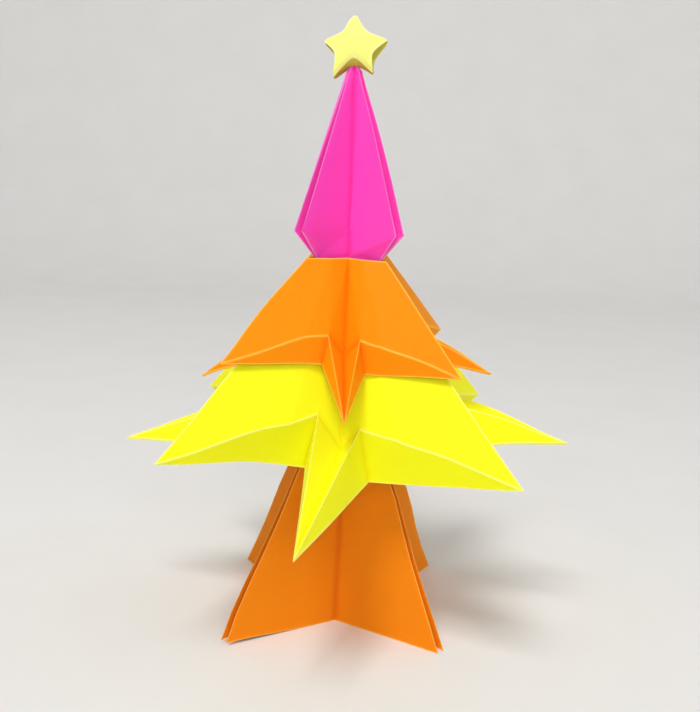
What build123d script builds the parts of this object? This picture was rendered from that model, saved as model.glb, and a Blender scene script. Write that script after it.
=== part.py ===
from build123d import *
import itertools
import math
import os

import numpy as np

# A christmas tree of folded paper: a trunk, two tiers and a spire, each folded from one square,
# stacked on one axis, with a puffed star folded from a strip on the tip. Millimetres, +Z up,
# the front towards -Y, the origin on the table under the middle of the trunk.

# Paper
PAPER = 0.2  # thickness of a fold's pressed paper
FIT = 0.3  # room between a unit and the unit that it sits on
QUARTERS = 4  # fins of a unit, and faces between them

# Trunk: a squash-folded cone that stands on the feet of its fins
TRUNK_APEX = 67.3  # height of the point where its creases meet
TRUNK_FIN_REACH = 36.1  # axis to the foot of a fin
TRUNK_VALLEY_REACH = 10.9  # axis to the foot of the valley between two fins
TRUNK_PLEAT_REACH = 9.0  # axis to the inner fold of the pleat inside a fin
TRUNK_FIN_WIDTH = 2.0  # between the two edges of a fin at its foot
TRUNK_PLEAT_WIDTH = 0.4  # between the pleat's two sides at its inner fold

# Tiers: each point is its reach from the axis, its offset to the side, and its drop below the apex
LOWER_APEX = 97.9  # height of the point where the yellow tier's creases meet
LOWER_FIN = (55.7, 0.0, 50.2)  # tip of a fin
LOWER_CREASE = (26.4, 12.0, 43.8)  # lower end of the soft crease beside a valley
LOWER_RIDGE = (21.4, 5.1, 43.0)  # where a fin's lower edge turns into the ridge of a corner
LOWER_NOTCH = (21.7, 7.6, 54.7)  # inner corner of the raw edge between a fin and a corner
LOWER_BEND = (21.1, 0.0, 49.4)  # lower end of the valley, where a corner's trough begins
LOWER_CORNER = (56.1, 0.0, 53.7)  # tip of a corner of the square
LOWER_TRIM = 19.9  # drop of the trimmed top, hidden under the orange tier
UPPER_STEP = 5.2  # how far the orange tier's apex stands above the yellow tier's
UPPER_FIN = (38.0, 0.0, 34.2)  # the same points of the orange tier
UPPER_CREASE = (19.0, 8.2, 29.4)
UPPER_RIDGE = (16.4, 3.5, 29.0)
UPPER_NOTCH = (18.0, 4.9, 36.9)
UPPER_BEND = (14.4, 0.0, 33.7)
UPPER_CORNER = (36.5, 0.0, 42.1)
UPPER_TRIM = 12.0
PLEAT_TOP_GAP = 5.3  # how far below the tip of what carries it a pleat's inner edge ends

# Hand folding leaves the tips uneven: what a point adds in reach, side and height.
# The key is the point, its quarter (0 front, 1 right, 2 back, 3 left) and its side.
LOWER_UNEVEN = {
    ("corner", 0, 0): (0.0, -8.6, -9.1),
    ("corner", 1, 0): (0.0, -5.5, 3.0),
    ("corner", 2, 0): (0.0, -5.5, 0.0),
    ("corner", 3, 0): (0.0, -5.5, -2.9),
    ("fin", 0, 1): (0.0, 0.0, -1.5),
    ("fin", 3, 1): (0.0, 0.0, 1.3),
    ("ridge", 0, 1): (0.0, -0.8, -1.1),
    ("ridge", 0, -1): (0.0, -0.6, 1.6),
    ("notch", 0, 1): (0.0, -0.6, -2.6),
    ("notch", 0, -1): (0.0, -0.9, 0.0),
}
UPPER_UNEVEN = {
    ("corner", 0, 0): (0.0, 0.7, -2.3),
    ("corner", 1, 0): (0.0, -4.0, 2.4),
    ("corner", 3, 0): (0.0, -4.0, -2.7),
    ("fin", 0, 1): (0.0, 0.0, -2.0),
    ("notch", 0, -1): (0.0, 0.0, 1.5),
}

# Spire: a squash-folded cone whose lower corners drop into the orange tier's open top
SPIRE_PEAK = 137.4  # height of its point, inside the star's lower dent
SPIRE_SHOULDER = 2.4  # drop of the level at which the pressed point widens into four fins
SPIRE_HIP = 6.4  # rise of the fins' widest corners above the orange tier's top
SPIRE_FOOT = 6.5  # how far its lower end reaches down inside that top
SHOULDER_RING = (1.0, 2.1, 1.0, 1.7, 0.24)  # valley reach, fin reach, fin width, pleat reach, pleat width
HIP_RING = (2.2, 16.6, 2.7, 3.6, 0.4)
ENTRY_RING = (2.6, 10.8, 0.6, 3.4, 0.2)  # at the orange tier's top
FOOT_RING = (2.9, 6.1, 0.5, 3.2, 0.16)

# Star: a puffed star with a dent in each side, sitting astride the spire's point
STAR_POINTS = 5
STAR_REACH = 8.2  # middle to a point
STAR_NOTCH_REACH = 4.6  # middle to the rim between two points
STAR_SEAT_REACH = 2.4  # middle to the rim of the lower dent, pressed in by the spire
STAR_DENT = 0.7  # how far a side is pushed in behind its rim
STAR_POINT_WIDTH = 1.6  # front to back at a point
STAR_RIM_WIDTH = 5.4  # front to back at a rim
STAR_MIDDLE_WIDTH = 6.6  # front to back at the middle
STAR_FIT = 0.45  # room between the lower dent and the spire's point
STAR_LEAN = 15.0  # degrees that it leans back
STAR_TURN = 8.0  # degrees that its face is turned to the left


def place(quarter_turns, reach, side, height):
    """A point by its reach from the axis towards a quarter, its offset to that quarter's right, and its height."""
    turn = quarter_turns * 2 * math.pi / QUARTERS
    return np.array([
        reach * math.sin(turn) + side * math.cos(turn),
        -reach * math.cos(turn) + side * math.sin(turn),
        height,
    ])


def plane_normal(corners):
    """The unit normal of a polygon, on the side from which its corners run anticlockwise."""
    total = np.zeros(3)
    for first, second in zip(corners[1:-1], corners[2:]):
        total = total + np.cross(first - corners[0], second - corners[0])
    return total / np.linalg.norm(total)


def flat_faces(corners, tolerance=1e-6):
    """A polygon as one face if it is flat, or as a fan of triangles."""
    normal = plane_normal(corners)
    flat = all(abs((corner - corners[0]) @ normal) < tolerance for corner in corners)
    pieces = [corners] if flat else [[corners[0], *pair] for pair in zip(corners[1:-1], corners[2:])]
    return [Face(Wire.make_polygon([Vector(*corner) for corner in piece], close=True)) for piece in pieces]


def closed_solid(polygons):
    """The solid inside a closed set of polygons."""
    return Solid(Shell([face for corners in polygons for face in flat_faces(corners)]))


def ring(height, valley_reach, fin_reach, fin_width, pleat_reach, pleat_width):
    """One level cut through a squash-folded cone: valley, fin edge, pleat and the fin's other edge, four times."""
    points = []
    for quarter in range(QUARTERS):
        points.append(place(quarter, valley_reach, 0, height))
        fin = quarter + 0.5
        points.append(place(fin, fin_reach, -fin_width / 2, height))
        points.append(place(fin, pleat_reach, -pleat_width / 2, height))
        points.append(place(fin, pleat_reach, pleat_width / 2, height))
        points.append(place(fin, fin_reach, fin_width / 2, height))
    return points


def inset(points, depth):
    """A level ring moved inwards by depth, with mitred corners."""
    moved = []
    for before, point, after in zip(points[-1:] + points[:-1], points, points[1:] + points[:1]):
        arriving = (point - before)[:2] / np.linalg.norm(point - before)
        leaving = (after - point)[:2] / np.linalg.norm(after - point)
        inward = np.array([[-arriving[1], arriving[0]], [-leaving[1], leaving[0]]])
        shift = np.linalg.solve(inward, [depth, depth])
        moved.append(point + np.array([*shift, 0]))
    return moved


def cone(levels, peak):
    """The solid between rings that have as many points each, from the lowest up, closed at a peak."""
    polygons = [levels[0][::-1]]
    for lower, upper in zip(levels[:-1], levels[1:]):
        for index in range(len(lower)):
            following = (index + 1) % len(lower)
            polygons.append([lower[index], lower[following], upper[following], upper[index]])
    top = levels[-1]
    polygons += [[top[index], top[(index + 1) % len(top)], peak] for index in range(len(top))]
    return closed_solid(polygons)


def trunk():
    """One sheet as a hollow four-finned cone, the same thickness along its faces from the foot to the tip."""
    foot = ring(0, TRUNK_VALLEY_REACH, TRUNK_FIN_REACH, TRUNK_FIN_WIDTH, TRUNK_PLEAT_REACH, TRUNK_PLEAT_WIDTH)
    valley, edge = foot[0], foot[1]
    face_reach = np.linalg.norm(np.cross(edge - valley, valley)) / np.linalg.norm(edge - valley)
    inner_apex = TRUNK_APEX * (1 - PAPER / face_reach)
    outside = cone([foot], place(0, 0, 0, TRUNK_APEX))
    inside = cone([inset(foot, PAPER)], place(0, 0, 0, inner_apex))
    return outside - inside


def trunk_valley(height):
    """The trunk's valley reach at a height."""
    return TRUNK_VALLEY_REACH * (1 - height / TRUNK_APEX)


def under_step(normals):
    """The shortest step that lies a paper's thickness or more behind every facet around a point."""
    best = None
    for count in (1, 2, 3):
        for chosen in itertools.combinations(normals, count):
            step = np.linalg.lstsq(np.array(chosen), np.full(count, PAPER), rcond=None)[0]
            behind = np.all(normals @ step > PAPER * (1 - 1e-6))
            if behind and (best is None or step @ step < best @ best):
                best = step
    return best


class Tier:
    """A skirt of four fins and four corners, folded from one square and trimmed open at the top."""

    def __init__(self, apex, fin, crease, ridge, notch, bend, corner, trim, carrier, carrier_tip, uneven):
        self.apex, self.trim, self.carrier, self.carrier_tip, self.uneven = apex, trim, carrier, carrier_tip, uneven
        self.top = apex - trim
        self.places = {
            "fin": fin, "crease": crease, "ridge": ridge, "notch": notch, "bend": bend, "corner": corner,
        }

    def valley(self, height):
        """The valley's reach at a height between its lower end and the trimmed top."""
        reach, _, drop = self.places["bend"]
        return reach * (self.apex - height) / drop

    def point(self, name, quarter, side=0):
        """A named point of a quarter; a fin stands half a quarter on, on the quarter's right."""
        reach, aside, drop = self.places[name]
        more_reach, more_side, more_height = self.uneven.get((name, quarter % QUARTERS, side), (0, 0, 0))
        turns = quarter + 0.5 if name == "fin" else quarter
        return place(turns, reach + more_reach, side * aside + more_side, self.apex - drop + more_height)

    def at_top(self, below):
        """The point where the crease from the apex to a point below is trimmed."""
        apex = place(0, 0, 0, self.apex)
        return apex + (below - apex) * (self.apex - self.top) / (self.apex - below[2])

    def facets(self):
        """The sheet's upper side as named corners of flat facets, anticlockwise from outside."""
        points, facets, raw_edges = {}, [], []
        for quarter in range(QUARTERS):
            points["bend", quarter, 0] = self.point("bend", quarter)
            points["corner", quarter, 0] = self.point("corner", quarter)
            points["fin", quarter, 0] = self.point("fin", quarter, 1)
            points["top_valley", quarter, 0] = self.at_top(points["bend", quarter, 0])
            points["top_fin", quarter, 0] = self.at_top(points["fin", quarter, 0])
            for side in (-1, 1):
                for name in ("crease", "ridge", "notch"):
                    points[name, quarter, side] = self.point(name, quarter, side)
                points["top_crease", quarter, side] = self.at_top(points["crease", quarter, side])
        for quarter in range(QUARTERS):
            for side in (-1, 1):
                fin_quarter = quarter if side == 1 else (quarter - 1) % QUARTERS
                top_valley, bend, corner = ("top_valley", quarter, 0), ("bend", quarter, 0), ("corner", quarter, 0)
                crease, ridge, notch = ("crease", quarter, side), ("ridge", quarter, side), ("notch", quarter, side)
                top_crease = ("top_crease", quarter, side)
                fin, top_fin = ("fin", fin_quarter, 0), ("top_fin", fin_quarter, 0)
                half = [
                    [top_valley, bend, ridge],
                    [top_valley, ridge, top_crease],
                    [top_crease, ridge, crease],
                    [top_crease, crease, fin, top_fin],
                    [bend, corner, ridge],
                    [ridge, corner, notch],
                    [ridge, notch, crease],
                    [crease, notch, fin],
                ]
                edges = [[top_fin, top_crease], [top_crease, top_valley], [corner, notch], [notch, fin]]
                facets += half if side == 1 else [facet[::-1] for facet in half]
                raw_edges += edges if side == 1 else [edge[::-1] for edge in edges]
        return points, facets, raw_edges

    def solid(self):
        """The sheet thickened on its under side, each crease mitred."""
        points, facets, raw_edges = self.facets()
        normals = {name: [] for name in points}
        for facet in facets:
            normal = plane_normal([points[name] for name in facet])
            for name in facet:
                normals[name].append(normal)
        under = {}
        for name, point in points.items():
            around = np.array(normals[name])
            if name[0].startswith("top"):
                around[:, 2] = 0  # the trimmed rim stays level
            under[name] = point - under_step(around)
        polygons = [[points[name] for name in facet] for facet in facets]
        polygons += [[under[name] for name in facet[::-1]] for facet in facets]
        polygons += [[points[second], points[first], under[first], under[second]] for first, second in raw_edges]
        sheet = closed_solid(polygons)
        for quarter in range(QUARTERS):
            sheet = sheet + self.pleat(quarter)
        return sheet

    def pleat(self, quarter):
        """The doubled paper tucked in behind a valley, whose inner edge rests on the unit below."""
        bend_reach, _, bend_drop = self.places["bend"]
        low, high = self.apex - bend_drop, self.carrier_tip - PLEAT_TOP_GAP
        sink = PAPER / 2
        outline = [
            (bend_reach - sink, low),
            (self.valley(self.top) - sink, self.top),
            (self.carrier(high) + FIT, high),
            (self.carrier(low) + FIT, low),
        ]
        sides = [[place(quarter, reach, side * PAPER, height) for reach, height in outline] for side in (-1, 1)]
        left, right = sides
        polygons = [left, right[::-1]]
        for index in range(len(outline)):
            following = (index + 1) % len(outline)
            polygons.append([left[following], left[index], right[index], right[following]])
        return closed_solid(polygons)


def spire(entry):
    """One sheet pressed into a narrow four-finned cone, its lower corners gathered inwards."""
    levels = [
        ring(entry - SPIRE_FOOT, *FOOT_RING),
        ring(entry, *ENTRY_RING),
        ring(entry + SPIRE_HIP, *HIP_RING),
        ring(SPIRE_PEAK - SPIRE_SHOULDER, *SHOULDER_RING),
    ]
    return cone(levels, place(0, 0, 0, SPIRE_PEAK))


def star():
    """A puffed star that stands on its lower dent, astride the spire's point, and leans back a little."""
    middle = STAR_FIT + STAR_SEAT_REACH - STAR_DENT
    step = 2 * math.pi / STAR_POINTS
    lean, turn = math.radians(STAR_LEAN), math.radians(STAR_TURN)

    def spot(reach, angle, depth):
        across, rise = reach * math.sin(angle), middle + reach * math.cos(angle)
        back = depth * math.cos(lean) + rise * math.sin(lean)
        height = rise * math.cos(lean) - depth * math.sin(lean)
        return np.array([
            across * math.cos(turn) + back * math.sin(turn),
            back * math.cos(turn) - across * math.sin(turn),
            SPIRE_PEAK + height,
        ])

    polygons = []
    for index in range(STAR_POINTS):
        angle = index * step
        lowest = abs(math.cos(angle + step / 2) + 1) < 1e-6
        rim_reach = STAR_SEAT_REACH if lowest else STAR_NOTCH_REACH
        dent = spot(rim_reach - STAR_DENT, angle + step / 2, 0)
        for face in (-1, 1):
            hub = spot(0, 0, face * STAR_MIDDLE_WIDTH / 2)
            rim = spot(rim_reach, angle + step / 2, face * STAR_RIM_WIDTH / 2)
            tips = [spot(STAR_REACH, tip_angle, face * STAR_POINT_WIDTH / 2) for tip_angle in (angle, angle + step)]
            here, there = tips
            polygons += [half[::face] for half in ([hub, here, rim], [hub, rim, there])]
            polygons += [half[::face] for half in ([here, dent, rim], [there, rim, dent])]
        for point_angle, order in ((angle, 1), (angle + step, -1)):
            front, back = (spot(STAR_REACH, point_angle, face * STAR_POINT_WIDTH / 2) for face in (-1, 1))
            polygons.append([front, dent, back][::order])
    return closed_solid(polygons)


lower = Tier(
    LOWER_APEX, LOWER_FIN, LOWER_CREASE, LOWER_RIDGE, LOWER_NOTCH, LOWER_BEND, LOWER_CORNER,
    LOWER_TRIM, trunk_valley, TRUNK_APEX, LOWER_UNEVEN,
)
upper = Tier(
    LOWER_APEX + UPPER_STEP, UPPER_FIN, UPPER_CREASE, UPPER_RIDGE, UPPER_NOTCH, UPPER_BEND, UPPER_CORNER,
    UPPER_TRIM, lower.valley, lower.top, UPPER_UNEVEN,
)
pieces = {
    "trunk": trunk(),
    "lower_tier": lower.solid(),
    "upper_tier": upper.solid(),
    "spire": spire(upper.top),
    "star": star(),
}

os.makedirs("parts", exist_ok=True)
for name, piece in pieces.items():
    export_step(piece, f"parts/{name}.step")
    print(f"{name}: volume {piece.volume:.1f} mm3, valid {piece.is_valid}, box {piece.bounding_box()}")
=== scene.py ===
# %% [markdown]
# # A folded paper christmas tree
# The tree is a stack of five papers: a trunk, two skirts, a tall spire and a puffed star. The solids give
# every fold its place. This lesson turns them into sheets of coloured paper: it divides the flat facets so
# that they can wave a little, finds the folds, and paints each fold with a pale line, which is partly the
# cracked colour of a pressed crease and partly a painted highlight, and each valley with painted shade.
# Blender measures in metres, so a length in millimetres is multiplied by MM.

import math

import bmesh
import bpy
import numpy as np
from mathutils import Color, Matrix, Vector


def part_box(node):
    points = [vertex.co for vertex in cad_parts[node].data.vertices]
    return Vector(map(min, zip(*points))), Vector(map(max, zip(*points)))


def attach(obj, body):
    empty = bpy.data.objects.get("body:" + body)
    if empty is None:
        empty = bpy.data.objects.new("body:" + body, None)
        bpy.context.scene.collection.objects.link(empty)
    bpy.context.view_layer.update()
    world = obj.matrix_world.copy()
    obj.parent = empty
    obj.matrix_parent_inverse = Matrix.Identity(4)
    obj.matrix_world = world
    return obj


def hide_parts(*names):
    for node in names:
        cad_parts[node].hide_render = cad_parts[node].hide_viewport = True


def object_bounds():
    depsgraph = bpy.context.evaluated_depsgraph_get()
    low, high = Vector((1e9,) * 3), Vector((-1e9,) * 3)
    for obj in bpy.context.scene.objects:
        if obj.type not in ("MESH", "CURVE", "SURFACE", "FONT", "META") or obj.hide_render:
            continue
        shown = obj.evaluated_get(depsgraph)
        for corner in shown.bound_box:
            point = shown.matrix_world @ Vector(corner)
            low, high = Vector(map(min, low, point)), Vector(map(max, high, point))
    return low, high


MM = 0.001
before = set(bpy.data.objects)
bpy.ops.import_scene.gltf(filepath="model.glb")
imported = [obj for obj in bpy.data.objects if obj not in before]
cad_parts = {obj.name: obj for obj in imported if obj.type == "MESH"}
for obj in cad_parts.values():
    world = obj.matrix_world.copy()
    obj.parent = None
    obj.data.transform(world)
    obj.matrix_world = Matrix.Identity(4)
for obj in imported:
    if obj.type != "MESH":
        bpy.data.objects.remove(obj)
cad_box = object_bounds()


def placed(name, data):
    """A new object in the scene."""
    thing = bpy.data.objects.new(name, data)
    bpy.context.scene.collection.objects.link(thing)
    return thing


print("papers:", sorted(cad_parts))

# %% [markdown]
# ## The camera
# The photograph was taken from a little above the middle of the tree, close enough for a clear perspective.
# A constraint could aim the camera, but this one also rolls a little, so it is placed by its own three
# directions: where it looks, what is up, and what is right. The lens was worked out from the tree's creases,
# so the render has the photograph's framing.

# %% Place the camera
PICTURE_WIDTH = 700
FOCAL_PIXELS = 981.4
SENSOR_WIDTH = 36.0
CAMERA_PLACE = Vector((1.34, -240.5, 116.6)) * MM
# In radians: how far it looks down, and how far it leans to one side.
CAMERA_PITCH = 0.2067
CAMERA_ROLL = -0.0352
NEAREST_SEEN = 0.01
FARTHEST_SEEN = 20.0

forward = Vector((0, math.cos(CAMERA_PITCH), -math.sin(CAMERA_PITCH)))
level_up = Vector((0, math.sin(CAMERA_PITCH), math.cos(CAMERA_PITCH)))
level_right = Vector((1, 0, 0))
right = level_right * math.cos(CAMERA_ROLL) - level_up * math.sin(CAMERA_ROLL)
up = level_right * math.sin(CAMERA_ROLL) + level_up * math.cos(CAMERA_ROLL)
directions = Matrix((right, up, -forward)).transposed()

camera_data = bpy.data.cameras.new("camera")
camera_data.sensor_fit = "HORIZONTAL"
camera_data.sensor_width = SENSOR_WIDTH
camera_data.lens = FOCAL_PIXELS * SENSOR_WIDTH / PICTURE_WIDTH
camera_data.clip_start = NEAREST_SEEN
camera_data.clip_end = FARTHEST_SEEN
camera = placed("camera", camera_data)
camera.matrix_world = Matrix.Translation(CAMERA_PLACE) @ directions.to_4x4()
bpy.context.scene.camera = camera
print("lens", round(camera_data.lens, 2), "mm")

# %% [markdown]
# ## Shader maths in Python
# A finish is a sum of small patterns. Its nodes could be placed and linked one by one, but sums written as
# Python expressions are easier to read. So one small class wraps a socket, and adding or multiplying two of
# them adds the Math node that does it.


# %% Wrap sockets
class Signal:
    """What one socket gives, which changes over a surface."""

    def __init__(self, finish, socket):
        self.finish = finish
        self.socket = socket

    def maths(self, operation, other):
        return self.finish.node("ShaderNodeMath", {"operation": operation}, {0: self, 1: other})

    def __add__(self, other):
        return self.maths("ADD", other)

    __radd__ = __add__

    def __mul__(self, other):
        return self.maths("MULTIPLY", other)

    __rmul__ = __mul__

    def least(self, other):
        return self.maths("MINIMUM", other)


# A Mix node has sockets for each kind of data: these are the share's, the two colours' and the result's.
MIX_SHARE, MIX_FIRST, MIX_SECOND = 0, 6, 7
MIX_RESULT = 2


class Finish:
    """The nodes of a material or a sky, with one method that adds any node."""

    def __init__(self, owner, last_node):
        owner.use_nodes = True
        self.owner = owner
        self.tree = owner.node_tree
        self.last = self.tree.nodes[last_node]

    def feed(self, node, inputs):
        """Link or set a node's sockets."""
        for name, value in inputs.items():
            if isinstance(value, Signal):
                self.tree.links.new(value.socket, node.inputs[name])
            else:
                node.inputs[name].default_value = value

    def node(self, kind, settings=None, inputs=None, output=0):
        made = self.tree.nodes.new(kind)
        for name, value in (settings or {}).items():
            setattr(made, name, value)
        self.feed(made, inputs or {})
        return Signal(self, made.outputs[output])

    def fade(self, gap, near, far):
        """1 nearer than near, falling smoothly to 0 at far."""
        ends = {"Value": gap, "From Min": near, "From Max": far, "To Min": 1.0, "To Max": 0.0}
        return self.node("ShaderNodeMapRange", {"interpolation_type": "SMOOTHSTEP"}, ends)

    def mixed(self, share, first, second):
        """A colour between two colours."""
        inputs = {MIX_SHARE: share, MIX_FIRST: first, MIX_SECOND: second}
        return self.node("ShaderNodeMix", {"data_type": "RGBA"}, inputs, MIX_RESULT)


def colour(red, green, blue):
    """A screen colour from 0 to 255, as the renderer's linear colour."""
    linear = Color((red / 255, green / 255, blue / 255)).from_srgb_to_scene_linear()
    return (*linear, 1.0)


print("half of white on screen, as light:", round(colour(127.5, 127.5, 127.5)[0], 3))

# %% [markdown]
# ## Coloured origami paper
# Origami paper is smooth, matt and strongly coloured. A pressed mountain fold cracks the colour a little and
# shows a pale line, and a cut edge shows the pale core; these pale lines are also a painted highlight, for
# the light that a rounded fold catches. Valley folds get painted shade: their colour is mixed towards a
# darker one, as the star's pushed-in walls are too. The lines could be painted by hand, but here each
# facet's mesh carries how far a spot is from its folds, so they come out exact at any size. Fine noise
# stands for the fibres. Paper is also thin enough to let light through, which warms the shade between two
# sheets, so part of the light is let in under the surface.

# %% Make the paper finishes
FOLD_CORE = 0.10 * MM
FOLD_FADE = 0.42 * MM
VALLEY_FADE = 1.6 * MM
FIBRES = {"Scale": 1500.0, "Detail": 5.0}
CLOUDS = {"Scale": 60.0, "Detail": 3.0}
CREASE_LEAST = 0.55
CREASE_CHANGE = 0.5
MOTTLING = 0.10
# Painted shade: the darker colour's share along valley folds, and on the star's pushed-in walls.
PAINTED_VALLEY_SHADE = 0.45
PAINTED_STAR_WALL_SHADE = 0.85
ROUGHNESS_LEAST = 0.55
ROUGHNESS_CHANGE = 0.2
SHINE = 0.12
SEE_THROUGH = 0.45
LIGHT_REACH = 0.5 * MM
LIGHT_REACH_BY_COLOUR = (1.0, 0.7, 0.5)
FIBRE_HEIGHT = 0.15
CLOUD_HEIGHT = 1.5
BUMP = {"Strength": 0.6, "Distance": 0.2 * MM}


def paper_finish(name, sheet, crease, shade, painted_shade_share=PAINTED_VALLEY_SHADE):
    """A paper with its colour, its fold lines' pale colour, and a darker one for mottling and a share of
    painted shade.
    """
    finish = Finish(bpy.data.materials.new(name), "Principled BSDF")
    place = finish.node("ShaderNodeTexCoord", output="Object")
    fibres = finish.node("ShaderNodeTexNoise", None, {"Vector": place, **FIBRES})
    clouds = finish.node("ShaderNodeTexNoise", None, {"Vector": place, **CLOUDS})

    def nearest(attribute):
        gaps = finish.node("ShaderNodeAttribute", {"attribute_name": attribute}, output="Vector")
        split = [finish.node("ShaderNodeSeparateXYZ", None, {0: gaps}, axis) for axis in range(3)]
        return split[0].least(split[1]).least(split[2])

    # The pale fold line: partly colour cracked at a pressed fold or a cut edge's core, partly a painted
    # highlight.
    uneven_line_strength = CREASE_LEAST + CREASE_CHANGE * clouds
    pale_line_and_highlight = finish.fade(nearest("fold_gap"), FOLD_CORE, FOLD_FADE) * uneven_line_strength
    # Painted shade: near a valley fold the colour is mixed towards the darker one.
    painted_valley_shade = finish.fade(nearest("valley_gap"), 0.0, VALLEY_FADE)
    mottled = finish.mixed(MOTTLING * (clouds + fibres), colour(*sheet), colour(*shade))
    with_painted_shade = finish.mixed(painted_shade_share * painted_valley_shade, mottled, colour(*shade))
    height = FIBRE_HEIGHT * fibres + CLOUD_HEIGHT * clouds
    finish.feed(finish.last, {
        "Base Color": finish.mixed(pale_line_and_highlight, with_painted_shade, colour(*crease)),
        "Roughness": ROUGHNESS_LEAST + ROUGHNESS_CHANGE * fibres,
        "Normal": finish.node("ShaderNodeBump", None, {"Height": height, **BUMP}, "Normal"),
        "Specular IOR Level": SHINE,
        "Subsurface Weight": SEE_THROUGH,
        "Subsurface Radius": LIGHT_REACH_BY_COLOUR,
        "Subsurface Scale": LIGHT_REACH,
    })
    return finish.owner


# Each paper's sheet, crease and shade, as screen colours. The crease colour is partly a painted highlight,
# and the shade colour gives both random mottling and painted shade in valleys and on the star's walls.
FINISHES = {
    "trunk": paper_finish("trunk_paper", (252, 141, 12), (255, 178, 65), (218, 85, 0)),
    "lower_tier": paper_finish("yellow_paper", (249, 250, 28), (255, 255, 130), (240, 220, 0)),
    "upper_tier": paper_finish("orange_paper", (255, 148, 0), (255, 192, 75), (250, 105, 0)),
    "spire": paper_finish("pink_paper", (255, 80, 198), (255, 130, 218), (252, 28, 142)),
    # The star's darker colour is mostly painted shade on its pushed-in walls.
    "star": paper_finish("star_paper", (252, 251, 138), (255, 255, 188), (182, 172, 32), PAINTED_STAR_WALL_SHADE),
}
print("finishes:", len(FINISHES))

# %% [markdown]
# ## Waves and uneven folds
# A solid's facets are perfectly flat, and a folded sheet never is. A noise texture could move each sheet, but
# papers that touch would then cut through each other. Here one gentle wave moves every point of the tree by
# its place alone, so both sides of a sheet, and papers that touch, stay as far apart as they were. Hands
# never fold two sides quite alike either: at a few spots a sheet is drawn a millimetre or two to one side,
# and the paper round the spot follows it.

# %% Wave and draw the paper
WAVE_HEIGHT = 0.22 * MM
STILL_HEIGHT = 6 * MM
# Each wave's radians for each metre, the way that it moves the paper, and where it starts.
WAVES = [
    (Vector((61, 37, 83)), Vector((0.6, -0.3, 0.7)), 0.3),
    (Vector((-97, 71, 59)), Vector((-0.4, 0.7, 0.5)), 1.9),
    (Vector((143, 119, -101)), Vector((0.5, 0.5, -0.4)), 4.1),
]
# Each spot's place, how far it reaches, and how far it is drawn, in millimetres.
DRAWN_SPOTS = {
    "trunk": [
        ((15.3, 15.3, 28.0), 14.0, (2.6, 0.0, 0.0)),
        ((12.0, -12.0, 36.0), 12.0, (1.3, 0.0, 0.0)),
        ((-22.0, -22.0, 8.0), 18.0, (-1.2, 0.0, 0.0)),
        ((-15.0, 13.0, 30.0), 16.0, (-1.1, 0.0, 0.0)),
        ((-24.0, -24.0, 0.0), 12.0, (0.0, 0.0, 0.8)),
    ],
    "lower_tier": [
        ((-19.0, -27.0, 52.0), 13.0, (0.0, 0.4, 1.8)),
        ((13.0, -26.0, 54.0), 9.0, (0.0, -0.4, -1.4)),
        ((-39.4, -39.4, 47.7), 10.0, (-0.8, 0.0, 0.0)),
        ((39.4, -39.4, 46.2), 12.0, (0.5, 0.0, 0.0)),
        ((30.0, 1.0, 52.0), 11.0, (0.0, 0.0, 2.6)),
        ((42.0, -2.0, 50.0), 9.0, (0.0, 0.0, 1.2)),
        ((-30.0, 0.0, 52.0), 11.0, (0.0, 0.0, 0.6)),
        # Inside the upper tier's fin, which is drawn the same way.
        ((-20.0, 20.0, 70.0), 16.0, (1.8, 0.0, 0.0)),
    ],
    "upper_tier": [
        ((-8.2, -19.0, 73.7), 7.0, (0.0, 0.2, 0.7)),
        ((8.2, -19.0, 73.7), 7.0, (0.0, -0.3, -1.0)),
        ((-17.5, -17.5, 78.0), 14.0, (-1.2, 0.0, 0.0)),
        ((-27.0, -27.0, 62.0), 8.0, (-0.9, 0.0, 0.0)),
        ((-32.0, 2.0, 60.0), 9.0, (-0.7, 0.0, 0.7)),
        ((-27.0, 27.0, 69.0), 25.0, (2.0, 0.0, 0.0)),
        ((27.0, 27.0, 69.0), 20.0, (-0.7, 0.0, 0.0)),
        ((26.0, 0.0, 66.0), 8.0, (0.0, 0.0, 0.8)),
    ],
    "spire": [
        ((10.0, 0.0, 108.0), 10.0, (1.0, 0.0, 0.0)),
        ((10.0, 0.0, 122.0), 10.0, (1.0, 0.0, 0.0)),
    ],
}


def waved(point):
    """A point moved by the gentle wave, which dies out at the table, and kept inside the solids' box."""
    hold = min(max(point.z / STILL_HEIGHT, 0), 1)
    shift = Vector((0, 0, 0))
    for pace, lean, start in WAVES:
        shift += lean * math.sin(pace.dot(point) + start)
    moved = point + shift * WAVE_HEIGHT * hold
    return Vector([min(max(value, low), high) for value, low, high in zip(moved, *cad_box)])


def drawn(point, paper):
    """A point moved with the spots of its paper that were folded to one side."""
    moved = point.copy()
    for place, reach, move in DRAWN_SPOTS[paper]:
        gap = (point - Vector(place) * MM).length / (reach * MM)
        moved += Vector(move) * MM * math.exp(-gap ** 2)
    return moved


print("drawn spots:", sum(len(spots) for spots in DRAWN_SPOTS.values()))

# %% [markdown]
# ## Finding the folds
# A fold is where two facets of a sheet meet at an angle, so it can be measured instead of being marked by
# hand. First the corners at one place are joined, because each facet of the solid has corners of its own. An
# edge whose facets turn is then a fold: outwards a mountain, inwards a valley. A slight bend that runs up to
# a paper's top, or level round its middle, was never pressed with a nail, so it stays soft.

# %% Find the folds
FOLD_TURNS = {
    "trunk": math.radians(30),
    "lower_tier": math.radians(16),
    "upper_tier": math.radians(16),
    "spire": math.radians(30),
}
SOFT_TURN = math.radians(45)
LEVEL = 0.05 * MM
PLACE_DIGITS = 7
MOUNTAIN = 1
VALLEY = -1


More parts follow.
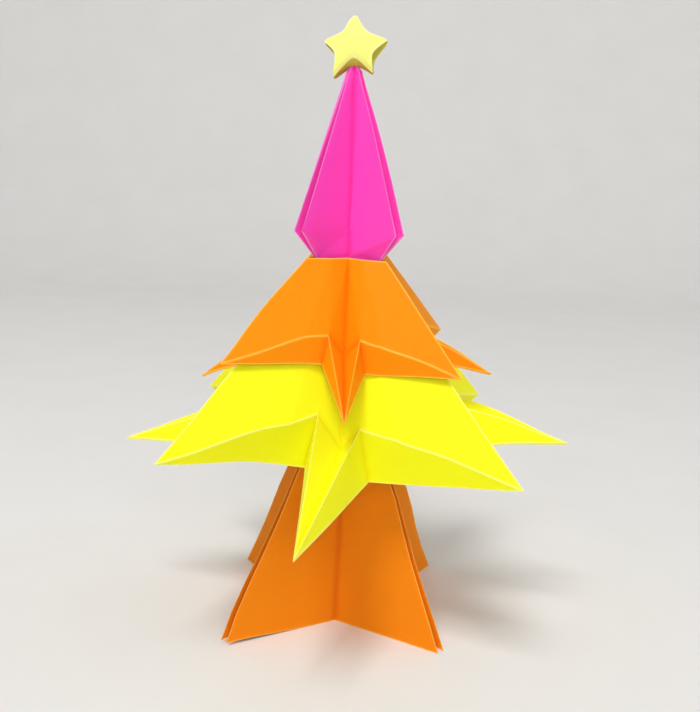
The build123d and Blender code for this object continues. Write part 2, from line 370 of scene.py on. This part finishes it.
def welded(mesh):
    """A mesh's places and triangles, with corners at one place joined."""
    mesh.calc_loop_triangles()
    numbers = {}
    places = []
    of_vertex = []
    for vertex in mesh.vertices:
        key = tuple(round(value, PLACE_DIGITS) for value in vertex.co)
        if key not in numbers:
            numbers[key] = len(places)
            places.append(vertex.co.copy())
        of_vertex.append(numbers[key])
    triangles = [tuple(of_vertex[index] for index in triangle.vertices) for triangle in mesh.loop_triangles]
    return places, [triangle for triangle in triangles if len(set(triangle)) == 3]


def facing(places, triangle):
    """The direction that a triangle faces."""
    first, second, third = (places[index] for index in triangle)
    return (second - first).cross(third - first).normalized()


def soft_bend(ends, bottom, top):
    """Whether an edge runs up to the top, or level somewhere between the bottom and the top."""
    low, high = sorted(end.z for end in ends)
    level = high - low < LEVEL
    runs_up = high > top - LEVEL and not level
    return runs_up or (level and bottom + LEVEL < low < top - LEVEL)


def fold_kinds(places, triangles, fold_turn):
    """Each edge where the paper turns, with its kind. A cut edge counts as a mountain."""
    bottom = min(place.z for place in places)
    top = max(place.z for place in places)
    sides = {}
    for triangle in triangles:
        for step in range(3):
            edge = frozenset((triangle[step], triangle[(step + 1) % 3]))
            sides.setdefault(edge, []).append((triangle, triangle[(step + 2) % 3]))
    kinds = {}
    for edge, faces in sides.items():
        if len(faces) != 2:
            continue
        normals = [facing(places, triangle) for triangle, _ in faces]
        soft = soft_bend([places[index] for index in edge], bottom, top)
        if normals[0].angle(normals[1], 0) > (SOFT_TURN if soft else fold_turn):
            on_edge = places[next(iter(edge))]
            beyond = places[faces[1][1]]
            rises = (beyond - on_edge).dot(normals[0])
            kinds[edge] = VALLEY if rises > 0 else MOUNTAIN
    return kinds


facets = {}
folds = {}
for paper, fold_turn in FOLD_TURNS.items():
    facets[paper] = welded(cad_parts[paper].data)
    folds[paper] = fold_kinds(*facets[paper], fold_turn)
    print(paper, "folds", len(folds[paper]))

# %% [markdown]
# ## Dividing the facets
# A flat facet can't bend, so each one is divided into a grid of small triangles. A subdivision modifier does
# that too, but its new corners don't know their facet. Here each small corner is written as shares of its
# facet's three corners, which give both its place and its distance from the facet's folds.

# %% Divide a facet
GRID = 10
FAR = 1.0


def facet_cells():
    """The small triangles of a facet: for each of their corners, its shares of the facet's corners."""
    cells = []
    for row in range(GRID):
        for column in range(GRID - row):
            cells.append([(row, column), (row + 1, column), (row, column + 1)])
            if row + column < GRID - 1:
                cells.append([(row + 1, column), (row + 1, column + 1), (row, column + 1)])
    return [[(GRID - row - column, row, column) for row, column in cell] for cell in cells]


def edge_shares(start, end):
    """The grid's points along one edge of a facet, as shares of the facet's corners."""
    line = []
    for step in range(GRID + 1):
        shares = [0, 0, 0]
        shares[start] = GRID - step
        shares[end] = step
        line.append(shares)
    return line


def corner_gaps(places, triangle, kinds, wanted):
    """For each corner, its distance from the facet's three edges, or far where an edge is no such fold."""
    gaps = np.full((3, 3), FAR)
    for step in range(3):
        start, end = triangle[(step + 1) % 3], triangle[(step + 2) % 3]
        if kinds.get(frozenset((start, end))) == wanted:
            along = (places[end] - places[start]).normalized()
            reach = places[triangle[step]] - places[start]
            gaps[:, step] = 0
            gaps[step, step] = (reach - along * reach.dot(along)).length
    return gaps


FACET_CELLS = facet_cells()
FACET_SHARES = np.array(FACET_CELLS).reshape(-1, 3) / GRID
print("small triangles in a facet:", len(FACET_CELLS))

# %% [markdown]
# ## The four folded sheets
# The trunk, the two skirts and the spire are made alike. Folds stay sharp, and the rest of a facet is shaded
# smooth, so the wave shows as a soft change of light. A point that two facets share is made once, or the
# sheet would come apart there. Each sheet takes the place of its solid.

# %% Fold the sheets
FOLD_LAYERS = {"fold_gap": MOUNTAIN, "valley_gap": VALLEY}


def folded_sheet(paper):
    """A paper as a finely divided mesh that carries the distance from its folds."""
    places, triangles = facets[paper]
    kinds = folds[paper]
    numbers = {}
    points = []
    faces = []
    gaps = {name: [] for name in FOLD_LAYERS}
    sharp = set()

    def number(shares, triangle):
        key = tuple(sorted((corner, share) for corner, share in zip(triangle, shares) if share))
        if key not in numbers:
            numbers[key] = len(points)
            flat = sum((places[corner] * (share / GRID) for corner, share in key), Vector())
            points.append(waved(drawn(flat, paper)))
        return numbers[key]

    for triangle in triangles:
        for cell in FACET_CELLS:
            faces.append([number(shares, triangle) for shares in cell])
        for name, kind in FOLD_LAYERS.items():
            gaps[name].append(FACET_SHARES @ corner_gaps(places, triangle, kinds, kind))
        for step in range(3):
            start, end = (step + 1) % 3, (step + 2) % 3
            if frozenset((triangle[start], triangle[end])) in kinds:
                line = [number(shares, triangle) for shares in edge_shares(start, end)]
                sharp.update(frozenset(pair) for pair in zip(line[:-1], line[1:]))

    mesh = bpy.data.meshes.new(f"{paper}_sheet")
    mesh.from_pydata(points, [], faces)
    for name, values in gaps.items():
        layer = mesh.attributes.new(name, "FLOAT_VECTOR", "CORNER")
        layer.data.foreach_set("vector", np.array(values, dtype=np.float32).ravel())
    mesh.polygons.foreach_set("use_smooth", [True] * len(mesh.polygons))
    for edge in mesh.edges:
        edge.use_edge_sharp = frozenset(edge.vertices) in sharp
    mesh.materials.append(FINISHES[paper])
    piece = placed(f"{paper}_sheet", mesh)
    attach(piece, "root")
    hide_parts(paper)
    print(paper, "faces", len(faces))


for paper in FOLD_TURNS:
    folded_sheet(paper)

# %% [markdown]
# ## The star's outline
# The star is a narrow strip folded round into a small pentagon, whose sides are then pushed in with a nail
# until it swells. A cut-out of ten straight edges would look stiff, so each side runs from point to point as
# a bent line. The lowest side is pressed in most, because the spire's point holds the star there. The strip's
# end, tucked in beside the top point, swells the outline a little, and no two points stand out quite alike.

# %% Draw the star's outline
STAR_POINTS = 5
SEAT_SIDE = STAR_POINTS // 2
STRIP_END_SIDE = STAR_POINTS - 1
STAR_REACH = 8.55 * MM
STAR_SIDE_REACH = 4.6 * MM
STAR_SEAT_REACH = 1.9 * MM
STAR_SIDE_BOW = 0.35
# How far each point stands from its even place, to the right and up, in millimetres.
STAR_POINT_SHIFTS = [(-0.27, 0.05), (-0.27, 0.0), (-0.2, 1.2), (0.07, -0.13), (0.27, -0.67)]
STRIP_END_RISE = 0.55 * MM
STRIP_END_START = 0.55
SIDE_STEPS = 16
ROUNDING_PASSES = 2


def heading(angle):
    """The direction at an angle from the top, going round to the right."""
    return Vector((math.sin(angle), math.cos(angle)))


def star_outline():
    """Spots round the star, each with its share of the way along its side, and whether that is the seat."""
    turn = 2 * math.pi / STAR_POINTS
    tips = []
    for index, shift in enumerate(STAR_POINT_SHIFTS):
        tips.append(heading(index * turn) * STAR_REACH + Vector(shift) * MM)
    spots = []
    marks = []
    for index in range(STAR_POINTS):
        start, end = tips[index], tips[(index + 1) % STAR_POINTS]
        seat = index == SEAT_SIDE
        outward = heading((index + 0.5) * turn)
        middle = outward * (STAR_SEAT_REACH if seat else STAR_SIDE_REACH)
        pull = middle * 2 - (start + end) / 2
        for step in range(SIDE_STEPS):
            share = step / SIDE_STEPS
            spot = middle.lerp(start if share < 0.5 else end, abs(2 * share - 1))
            if not seat:
                bent = start * (1 - share) ** 2 + pull * (2 * share * (1 - share)) + end * share ** 2
                spot = spot.lerp(bent, STAR_SIDE_BOW)
            if index == STRIP_END_SIDE and share > STRIP_END_START:
                along = (share - STRIP_END_START) / (1 - STRIP_END_START)
                spot = spot + outward * (STRIP_END_RISE * math.sin(math.pi * along))
            spots.append(spot)
            marks.append((share, seat))
    for _ in range(ROUNDING_PASSES):
        after = spots[1:] + spots[:1]
        spots = [(spots[index - 1] + spot * 2 + after[index]) / 4 for index, spot in enumerate(spots)]
    return [(spot, share, seat) for spot, (share, seat) in zip(spots, marks)]


outline = star_outline()
print("star outline spots:", len(outline))

# %% [markdown]
# ## The swollen star
# Flat facets would look cut from stone. A star mesh could be blown up with a cloth simulation, but its shape
# is simple enough to work out: rings spread from the front's middle to the rim, cross the wall, which is
# pushed in half way through, or out where it sits on the spire, and close again at the back's middle. Both
# faces swell towards the middle. The star leans back on the spire's point and is turned a little.

# %% Swell the star
STAR_MIDDLE_RISE = 2.15 * MM
STAR_LEAN = math.radians(15)
STAR_TURN = math.radians(8)
STAR_SIDE_DENT = 0.7 * MM
STAR_SEAT_DENT = -1.4 * MM
POINT_HALF = 0.8 * MM
SIDE_HALF = 2.7 * MM
MIDDLE_HALF = 3.25 * MM
SWELL_POWER = 1.5
# How far the painted shade on the star's wall fades towards its rims.
WALL_SHADE_REACH = VALLEY_FADE / 4
FACE_RINGS = 12
WALL_STEPS = 8


def star_rows():
    """Rings of points: their depth, from -1 in front to 1 at the back, and spread, which is 1 on the wall."""
    spreads = [ring / FACE_RINGS for ring in range(FACE_RINGS)]
    front = [(-1, spread) for spread in spreads]
    wall = [(2 * step / WALL_STEPS - 1, 1) for step in range(WALL_STEPS + 1)]
    back = [(1, spread) for spread in reversed(spreads)]
    return front + wall + back


def puffed_star():
    """The star as one closed mesh: a front face, a pushed-in wall and a back face."""
    spire_point = Vector((0, 0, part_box("spire")[1].z))
    lean = Matrix.Rotation(-STAR_LEAN, 3, "X")
    turn = Matrix.Rotation(-STAR_TURN, 3, "Z")
    rows = star_rows()
    points = []
    rim_gaps = []
    wall_shade_gaps = []
    for depth, spread in rows:
        for spot, share, seat in outline:
            swell = 1 - abs(2 * share - 1) ** SWELL_POWER
            rim = POINT_HALF + (SIDE_HALF - POINT_HALF) * swell
            half = rim * spread ** 2 + MIDDLE_HALF * (1 - spread ** 2)
            dent = STAR_SEAT_DENT if seat else STAR_SIDE_DENT
            pushed = spot.normalized() * (dent * swell * (1 - depth ** 2))
            place = spot * spread - pushed
            upright = Vector((place.x, depth * half, STAR_MIDDLE_RISE + place.y))
            points.append(spire_point + turn @ (lean @ upright))
            # The rims get the pale line, partly painted highlight; the wall gets painted shade, darkest in
            # its middle.
            rim_gaps.append((1 - spread) * spot.length + (1 - abs(depth)) * rim)
            wall_shade_gaps.append(abs(depth) * WALL_SHADE_REACH if spread == 1 else FAR)
    count = len(outline)
    faces = []
    for row in range(len(rows) - 1):
        near = row * count
        far = near + count
        for index in range(count):
            after = (index + 1) % count
            faces.append([near + index, near + after, far + after, far + index])
    mesh = bpy.data.meshes.new("puffed_star")
    mesh.from_pydata(points, [], faces)
    for name, values in (("fold_gap", rim_gaps), ("valley_gap", wall_shade_gaps)):
        layer = mesh.attributes.new(name, "FLOAT_VECTOR", "POINT")
        for item, gap in zip(layer.data, values):
            item.vector = (gap, FAR, FAR)
    return mesh


star_mesh = puffed_star()
print("star points", len(star_mesh.vertices))

# %% [markdown]
# ## Finishing the star
# The first and the last ring are each a single spot, so their points are joined. The rims were pressed sharp,
# and the rest is round, so the mesh is shaded smooth and split only where it turns much.

# %% Finish the star
SAME_PLACE = 1e-7
RIM_TURN = math.radians(38)

star_form = bmesh.new()
star_form.from_mesh(star_mesh)
bmesh.ops.remove_doubles(star_form, verts=star_form.verts, dist=SAME_PLACE)
bmesh.ops.recalc_face_normals(star_form, faces=star_form.faces)
star_form.to_mesh(star_mesh)
star_form.free()
star_mesh.polygons.foreach_set("use_smooth", [True] * len(star_mesh.polygons))
star_mesh.materials.append(FINISHES["star"])
star = placed("puffed_star", star_mesh)
star.modifiers.new("sharp rims", "EDGE_SPLIT").split_angle = RIM_TURN
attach(star, "root")
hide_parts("star")
print("star faces", len(star_mesh.polygons))

# %% [markdown]
# ## The floor
# The tree stands on a pale floor that sweeps up into a pale wall, as a sheet of studio paper does. Two planes
# would show a line where they meet, so the bend between them is a quarter of a circle.

# %% Sweep the floor
FLOOR_HALF = 1.2
WALL_PLACE = 0.55
WALL_HEIGHT = 1.6
SWEEP_RADIUS = 0.25
SWEEP_STEPS = 16
FLOOR_DARKER = colour(226, 224, 221)
FLOOR_PALER = colour(232, 231, 229)
FLOOR_GRAIN = {"Scale": 30.0, "Detail": 4.0}
FLOOR_ROUGHNESS = 0.8

profile = [(-FLOOR_HALF, 0.0)]
for step in range(SWEEP_STEPS + 1):
    angle = step / SWEEP_STEPS * math.pi / 2
    profile.append((WALL_PLACE + SWEEP_RADIUS * math.sin(angle), SWEEP_RADIUS * (1 - math.cos(angle))))
profile.append((WALL_PLACE + SWEEP_RADIUS, WALL_HEIGHT))
sweep_points = [(side, y, z) for y, z in profile for side in (-FLOOR_HALF, FLOOR_HALF)]
sweep_faces = [(2 * i, 2 * i + 1, 2 * i + 3, 2 * i + 2) for i in range(len(profile) - 1)]
sweep_mesh = bpy.data.meshes.new("studio_sweep")
sweep_mesh.from_pydata(sweep_points, [], sweep_faces)
sweep_mesh.polygons.foreach_set("use_smooth", [True] * len(sweep_mesh.polygons))

studio = Finish(bpy.data.materials.new("studio_pale"), "Principled BSDF")
floor_place = studio.node("ShaderNodeTexCoord", output="Object")
grain = studio.node("ShaderNodeTexNoise", None, {"Vector": floor_place, **FLOOR_GRAIN})
studio.feed(studio.last, {
    "Base Color": studio.mixed(grain, FLOOR_DARKER, FLOOR_PALER),
    "Roughness": FLOOR_ROUGHNESS,
})
sweep_mesh.materials.append(studio.owner)
sweep = placed("studio_sweep", sweep_mesh)
print("sweep faces", len(sweep_faces))

# %% [markdown]
# ## The lamps
# One soft lamp above and in front of the tree gives the tiers their shadows. Small lamps would cut them hard,
# so all are wide squares. Two further off, in front and to the right, open the folds, and the sky fills the
# rest.

# %% Hang the lamps
LAMP_AIM = Vector((0, 0, 0.07))
# Each lamp's place and width in metres, and its watts.
LAMPS = {
    "main_lamp": ((-0.20, -0.40, 0.96), 0.32, 6.0),
    "front_fill": ((0.10, -1.60, 0.70), 0.8, 8.2),
    "side_fill": ((1.25, 0.20, 0.60), 0.6, 2.2),
}

for name, (place, width, watts) in LAMPS.items():
    lamp_data = bpy.data.lights.new(name, "AREA")
    lamp_data.shape = "SQUARE"
    lamp_data.size = width
    lamp_data.energy = watts
    lamp = placed(name, lamp_data)
    lamp.location = place
    lamp.rotation_euler = (LAMP_AIM - Vector(place)).to_track_quat("-Z", "Y").to_euler()
print("lamps:", len(LAMPS))

# %% [markdown]
# ## The sky
# Seen past the floor's edge, the sky should be as pale as the floor, but that much light would wash the
# colours out. The Light Path node tells the two apart: what the camera sees, straight or in gloss, is the
# pale backdrop, and what lights the paper is weaker.

# %% Light the sky
SKY_STRENGTH = 0.36
SKY_LIGHT = (1, 1, 1, 1)
BACKDROP = colour(212, 211, 209)

sky = Finish(bpy.data.worlds.new("studio_sky"), "World Output")
camera_ray = sky.node("ShaderNodeLightPath", output="Is Camera Ray")
glossy_ray = sky.node("ShaderNodeLightPath", output="Is Glossy Ray")
clear_ray = sky.node("ShaderNodeLightPath", output="Is Transmission Ray")
seen = (camera_ray + glossy_ray + clear_ray).least(1.0)
light = sky.node("ShaderNodeBackground", None, {"Color": SKY_LIGHT, "Strength": SKY_STRENGTH})
backdrop = sky.node("ShaderNodeBackground", None, {"Color": BACKDROP, "Strength": 1.0})
sky.feed(sky.last, {"Surface": sky.node("ShaderNodeMixShader", None, {0: seen, 1: light, 2: backdrop})})
bpy.context.scene.world = sky.owner
bpy.context.scene.view_settings.view_transform = "Standard"
print("sky strength", SKY_STRENGTH)
